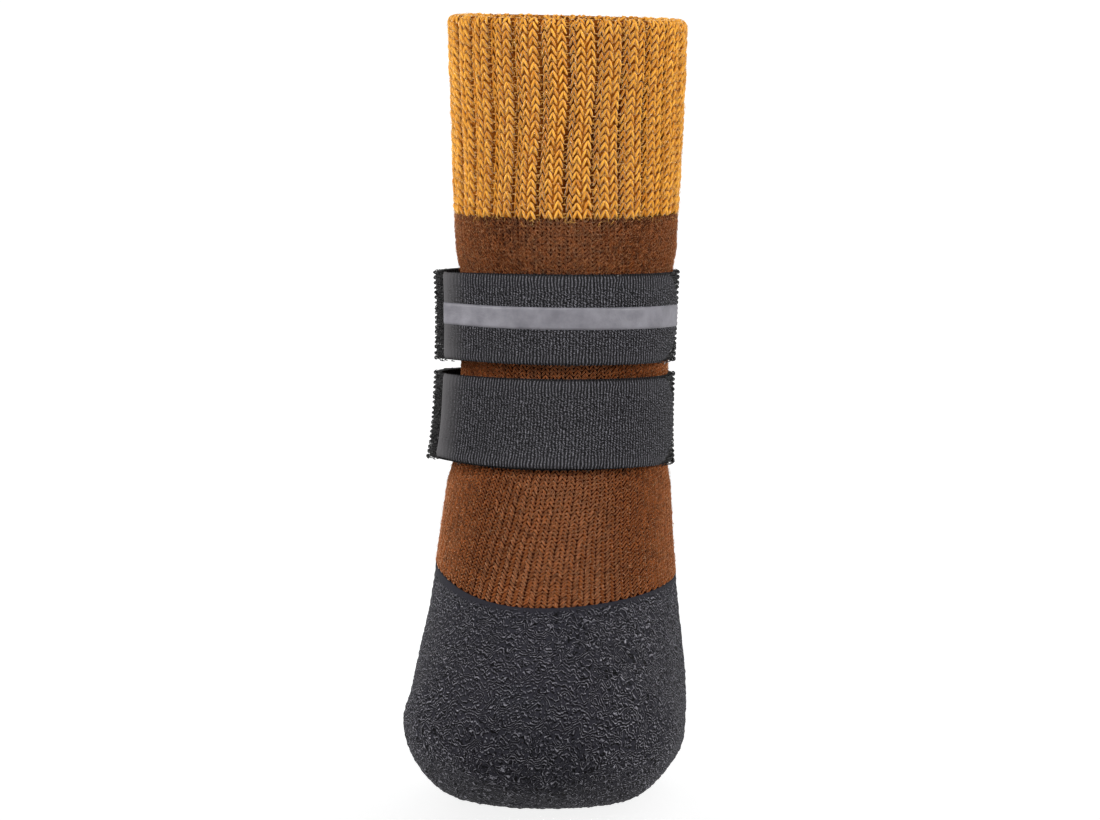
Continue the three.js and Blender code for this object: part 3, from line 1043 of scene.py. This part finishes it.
# The difference between the crease lines here and a step higher stands for the light falling on each
# slope.
slope = math_node(tree, "SUBTRACT", ridges, creases(tree, beside.outputs["Vector"]))
patchy = ramp(tree, noise(tree, place, 700.0, 1.0), [(0.40, 0.65), (0.54, 1.0)])
shown = node(tree, "ShaderNodeAttribute", attribute_name="relief_and_painted_contrast").outputs["Fac"]
strength = times(tree, patchy, shown)
shade = times(tree, times(tree, slope, strength), 0.5)
# Painted light and shade: the ramp paints the creases dark and one side of each ridge pale, up to a
# painted highlight.
painted_relief = ramp(tree, plus(tree, shade, 0.5), [
    (0.24, (0.0002, 0.0002, 0.0004)), (0.43, (0.0125, 0.0121, 0.0165)),
    (0.57, (0.0175, 0.0170, 0.0225)), (0.84, (0.132, 0.128, 0.146)),
    (1.0, (0.240, 0.233, 0.262))])
grain = noise(tree, place, 3600.0, 3.0, 0.6)
dullness = ramp(tree, grain, [(0.3, 0.58), (0.7, 0.75)])
normal = bump(tree, times(tree, ridges, strength), 0.0006)
feed(shader, base_color=painted_relief, roughness=dullness, normal=bump(tree, grain, 0.0001, 0.3, normal))
dress(rubber, rubber_skin, "rubber_foot")

# %% [markdown]
# ## Tapes and straps
#
# A hook tape runs right round the leg. It is woven, and its face is full of small nylon hooks.
# The strap is sewn to it at one side, crosses the front and is pressed on to the hooks. Both are
# flat strips that are wrapped on the last: their x turns into an angle and their y into a height.

# %% Strips on the leg
TAPE_THICKNESS = 1.0
TAPE_BASE = -0.3
STRAP_WIDTH = 20.0
STRAP_THICKNESS = 0.9
HOOK_ROOM = 0.25
STRAP_BASE = TAPE_BASE + TAPE_THICKNESS + HOOK_ROOM
STRAP_ROOT_ANGLE = math.radians(-63)
STRAP_TIP_ANGLE = math.radians(80)
STRAP_CORNER_LENGTH = 7.0
STRAP_CORNER_HEIGHT = 8.5
LOWER_CORNER = 1.45
STRIP_EDGE = (0.8, 0.3)  # how wide a band is rounded, and how deep
TAPE_SLACK = 4.5
TAPE_SLACK_ANGLE = math.radians(-80)
TAPE_SLACK_SPREAD = math.radians(30)
STRAP_RADIUS = 26.4
STRAP_LENGTH = (STRAP_TIP_ANGLE - STRAP_ROOT_ANGLE) * STRAP_RADIUS


def on_tape(angle, height, lift):
    """Points over the leg at a strap's height, following the slack of its tape."""
    turn = np.arctan2(np.sin(angle - TAPE_SLACK_ANGLE), np.cos(angle - TAPE_SLACK_ANGLE))
    slack = TAPE_SLACK * np.exp(-((turn / TAPE_SLACK_SPREAD) ** 2))
    along = along_at_height(angle, height - STRAP_DROP * (1 - np.cos(angle)))
    return lifted(along, angle, slack + lift)


def strap_half_width(x, below):
    """Half the strap's width along its length, rounded off at its free end, more so below."""
    corner = np.where(below, LOWER_CORNER, 1.0) * STRAP_CORNER_LENGTH
    round_off = np.clip((x - STRAP_LENGTH + corner) / corner, 0, 1)
    return STRAP_WIDTH / 2 - STRAP_CORNER_HEIGHT * (1 - np.sqrt(1 - round_off**2))


def edge_drop(half, y, band, drop):
    """How far a strip's face is rounded down within a band along its edges."""
    edge = np.clip((half - np.abs(y)) / band, 0, 1)
    return drop * (1 - edge) ** 2


def measured_uv(obj, x, y):
    """Writes pattern millimetres into the UV map, so a weave keeps its size."""
    corner = np.empty(len(obj.data.loops), int)
    obj.data.loops.foreach_get("vertex_index", corner)
    flat = np.column_stack([x[corner], y[corner]]).astype(float)
    obj.data.uv_layers.active.data.foreach_set("uv", flat.ravel())


def thickened(obj, thickness):
    """A wall of even thickness on the inner side."""
    modified(obj, "SOLIDIFY", thickness=thickness * MM, offset=-1)


print("each strap is", round(STRAP_LENGTH, 1), "mm long and", STRAP_WIDTH, "mm wide")

# %% [markdown]
# ## Webbing
#
# The straps are woven: fine ribs cross both edges, and the middle is pebbly, with a few threads
# that catch the light, painted as glints into the colour. The weave is a bump in the strip's own
# millimetres. Its sewn end has been pressed smooth.

# %% Webbing finish
WEAVE_PITCH = 0.74
KNOT_PITCH = 0.68
EDGE_BAND = 7.4
EDGE_BLUR = 1.5
GLINT = 7.5


def fade(tree, value, low, high):
    """Smoothly 0 below low and 1 above high."""
    made = node(
        tree, "ShaderNodeMapRange", interpolation_type="SMOOTHSTEP",
        value=value, from_min=low, from_max=high)
    return made.outputs["Result"]


def wave(tree, value, pitch):
    """A sine of a length, with the given pitch."""
    return math_node(tree, "SINE", times(tree, value, 2 * math.pi / pitch))


def webbing_finish(name, dark, light, smooth_colour, smooth_end):
    material, tree, shader = finish(name, roughness=0.6, specular_ior_level=0.12)
    coordinates = node(tree, "ShaderNodeTexCoord").outputs["UV"]
    split = node(tree, "ShaderNodeSeparateXYZ", vector=coordinates)
    x = split.outputs["X"]
    y = split.outputs["Y"]
    at_edge = fade(tree, math_node(tree, "ABSOLUTE", y), EDGE_BAND - EDGE_BLUR, EDGE_BAND + EDGE_BLUR)
    drift = times(tree, noise(tree, coordinates, 0.4, 1.0), 0.8)
    shuffle = times(tree, noise(tree, coordinates, 0.9, 2.0), 2.4)
    speck = noise(tree, coordinates, 3.4, 2.0)
    loose = math_node(tree, "SUBTRACT", speck, 0.5)
    ribs = wave(tree, plus(tree, x, drift), WEAVE_PITCH)
    slant = plus(tree, y, times(tree, x, 0.6))
    knots = wave(tree, plus(tree, slant, shuffle), KNOT_PITCH)
    pebbles = times(tree, plus(tree, ribs, knots), 0.7)
    pebbles = plus(tree, pebbles, times(tree, loose, 6.5))
    ribs = times(tree, ribs, 0.85)
    ribs = plus(tree, ribs, times(tree, loose, 3.0))
    weave = node(tree, "ShaderNodeMix", factor=at_edge, a=pebbles, b=ribs)
    rough = fade(tree, x, smooth_end - 4.5, smooth_end + 3.5)
    height = times(tree, weave.outputs["Result"], rough)
    level = plus(tree, times(tree, height, 0.25), 0.5)
    # Painted glints: the highest places of the weave get a colour many times lighter than the thread.
    glint = tuple(GLINT * v for v in light)
    woven = ramp(tree, level, [(0.3, dark), (0.58, light), (0.92, glint)])
    colour = node(
        tree, "ShaderNodeMix", data_type="RGBA", factor=rough, a=(*smooth_colour, 1), b=woven)
    dullness = ramp(tree, speck, [(0.55, 0.7), (0.72, 0.35)])
    normal = bump(tree, height, 0.00022)
    feed(shader, base_color=colour.outputs["Result"], roughness=dullness, normal=normal)
    return material


webbing = webbing_finish(
    "webbing", (0.003, 0.003, 0.004), (0.0305, 0.0298, 0.0336), (0.076, 0.073, 0.076), 4.5)
tape_weave = webbing_finish(
    "tape_weave", (0.002, 0.002, 0.0025), (0.009, 0.0085, 0.009), (0.012, 0.012, 0.012), -9.0)
print("weaves:", webbing.name, "and", tape_weave.name)

# %% Straps
ROOT_RISE = 0.6
ROOT_RISE_LENGTH = 10
BULGE = 0.75
BULGE_PLACE = 1.6
BULGE_WIDTH = 1.9
SEAM_DIP = 0.5
SEAM_WIDTH = 0.5


def root_rise(x):
    """The strap lifts a little towards its sewn end."""
    return ROOT_RISE * np.exp(-x / ROOT_RISE_LENGTH)


def root_fold(x):
    """The cloth bulges just beside the seam of the sewn end and dips into it."""
    bulge = BULGE * np.exp(-((x - BULGE_PLACE) / BULGE_WIDTH) ** 2)
    return bulge - SEAM_DIP * np.exp(-(x / SEAM_WIDTH) ** 2)


def strap(name, height, node_name):
    strip = flat_grid(name, 160, 24)
    flat = mesh_points(strip)
    x = (flat[:, 0] + 0.5) * STRAP_LENGTH
    half = strap_half_width(x, flat[:, 1] < 0)
    y = flat[:, 1] * 2 * half
    angle = STRAP_ROOT_ANGLE + x / STRAP_RADIUS
    lift = STRAP_BASE + STRAP_THICKNESS - edge_drop(half, y, *STRIP_EDGE) + root_fold(x)
    set_points(strip, on_tape(angle, height + y + root_rise(x), lift))
    measured_uv(strip, x, y)
    thickened(strip, STRAP_THICKNESS)
    dress(strip, webbing, node_name)


strap("upper_strap", UPPER_STRAP_HEIGHT, "strap_upper")
strap("lower_strap", LOWER_STRAP_HEIGHT, "strap_lower")

# %% [markdown]
# ## Hook tapes
#
# One hook is a bent nylon thread: a small circle, spun into an arch. It is repeated over the
# face of the tape, and the hooks that the strap lies on are left out.

# %% Tapes
TAPE_TUCK = 1.0


def tape(name, height, node_name):
    strip = flat_grid(name, 200, 16)
    flat = mesh_points(strip)
    angle = (flat[:, 0] + 0.5) * 2 * math.pi
    x = angle * STRAP_RADIUS
    width = np.where(flat[:, 1] < 0, TAPE_WIDTH - TAPE_TUCK, TAPE_WIDTH)
    y = flat[:, 1] * width
    lift = TAPE_BASE + TAPE_THICKNESS - edge_drop(width / 2, y, *STRIP_EDGE)
    set_points(strip, on_tape(angle, height + y, lift))
    measured_uv(strip, x, y)
    welded(strip)
    thickened(strip, TAPE_THICKNESS)
    dress(strip, tape_weave, node_name)


tape("upper_tape", UPPER_STRAP_HEIGHT, "tape_upper")
tape("lower_tape", LOWER_STRAP_HEIGHT, "tape_lower")

# %% Hooks
HOOK_PITCH = 1.18
HOOK_COLUMNS = int(2 * math.pi * STRAP_RADIUS / HOOK_PITCH)
HOOK_ROWS = 18
HOOK_SIZE = 0.38
HOOK_THREAD = 0.12
HOOK_SIDES = 3
HOOK_STEPS = 5
HOOK_ARC = math.radians(195)
HOOK_STRETCH = 1.25
HOOK_SINK = 0.05
HOOK_TURN = (0.4, 0.8)
HOOK_SCATTER = 0.12

nylon, tree, shader = finish("hook_nylon", roughness=0.3, specular_ior_level=0.35)
place = node(tree, "ShaderNodeTexCoord").outputs["Object"]
# Painted glints: a few spots on the hooks are painted pale where the nylon would catch the light.
painted_glints = ramp(tree, noise(tree, place, 900.0, 1.0), [(0.3, 0.002), (0.64, 0.005), (0.74, 0.30)])
feed(shader, base_color=painted_glints)


def hooks(name, height, node_name):
    bpy.ops.mesh.primitive_circle_add(
        vertices=HOOK_SIDES, radius=HOOK_THREAD, fill_type="NGON", location=(HOOK_SIZE, 0, 0))
    bpy.ops.object.transform_apply()
    hook = named(bpy.context.object, name)
    bpy.ops.object.mode_set(mode="EDIT")
    bpy.ops.mesh.select_all(action="SELECT")
    bpy.ops.mesh.spin(steps=HOOK_STEPS, angle=HOOK_ARC, center=(0, 0, 0), axis=(0, 1, 0))
    bpy.ops.object.mode_set(mode="OBJECT")
    welded(hook)
    per_hook = len(hook.data.vertices)
    repeated(hook, HOOK_ROWS, (0, HOOK_PITCH, 0))
    repeated(hook, HOOK_COLUMNS, (HOOK_PITCH, 0, 0))
    flat = mesh_points(hook)
    count = len(flat) // per_hook
    turn = rng.normal(*HOOK_TURN, count).repeat(per_hook)
    middle = flat.reshape(count, per_hook, 3).mean(axis=1).repeat(per_hook, axis=0)
    dx = flat[:, 0] - middle[:, 0]
    dy = flat[:, 1] - middle[:, 1]
    x = middle[:, 0] + dx * np.cos(turn) - dy * np.sin(turn)
    x += rng.normal(0, HOOK_SCATTER, count).repeat(per_hook)
    y = middle[:, 1] + dx * np.sin(turn) + dy * np.cos(turn)
    y += rng.normal(0, HOOK_SCATTER, count).repeat(per_hook)
    y -= (HOOK_ROWS - 1) * HOOK_PITCH / 2
    angle = x / (HOOK_COLUMNS * HOOK_PITCH) * 2 * math.pi - math.pi
    lift = TAPE_BASE + TAPE_THICKNESS - HOOK_SINK + flat[:, 2] * HOOK_STRETCH
    set_points(hook, on_tape(angle, height + y, lift))
    strap_x = (angle - STRAP_ROOT_ANGLE) * STRAP_RADIUS
    half = strap_half_width(strap_x, y < 0)
    covered = (strap_x > -0.2) & (strap_x < STRAP_LENGTH) & (np.abs(y) < half - 0.1)
    hidden = covered.reshape(count, per_hook).any(axis=1).repeat(per_hook)
    without(hook, hidden)
    dress(hook, nylon, node_name)


hooks("upper_hooks", UPPER_STRAP_HEIGHT, "tape_upper")
hooks("lower_hooks", LOWER_STRAP_HEIGHT, "tape_lower")

# %% [markdown]
# ## Reflective stripe
#
# A narrow grey film is welded along the middle of the upper strap.

# %% Stripe
STRIPE_WIDTH = 5.0
STRIPE_THICKNESS = 0.3
STRIPE_RISE = 0.5
STRIPE_INSET = 0.3
STRIPE_LIFT = 0.15
STRIPE_EDGE = (0.5, 0.08)
stripe = flat_grid("stripe_film", 260, 8)
flat = mesh_points(stripe)
x = STRIPE_INSET + (flat[:, 0] + 0.5) * (STRAP_LENGTH - 2 * STRIPE_INSET)
y = flat[:, 1] * STRIPE_WIDTH
angle = STRAP_ROOT_ANGLE + x / STRAP_RADIUS
over_strap = STRAP_BASE + STRAP_THICKNESS + STRIPE_LIFT
stripe_height = UPPER_STRAP_HEIGHT + STRIPE_RISE + y + root_rise(x)
lift = over_strap + root_fold(x) - edge_drop(STRIPE_WIDTH / 2, y, *STRIPE_EDGE)
set_points(stripe, on_tape(angle, stripe_height, lift))
measured_uv(stripe, x, y)
thickened(stripe, STRIPE_THICKNESS)

film, tree, shader = finish("reflective_film", roughness=0.45, specular_ior_level=0.3)
coordinates = node(tree, "ShaderNodeTexCoord").outputs["UV"]
tone = noise(tree, coordinates, 0.22, 4.0, 0.6)
grey = ramp(tree, tone, [(0.3, (0.100, 0.097, 0.111)), (0.7, (0.175, 0.170, 0.190))])
cells = node(tree, "ShaderNodeTexVoronoi", vector=coordinates, scale=2.4)
feed(shader, base_color=grey, normal=bump(tree, cells.outputs["Distance"], 0.00006, 0.6))
dress(stripe, film, "reflective_stripe")
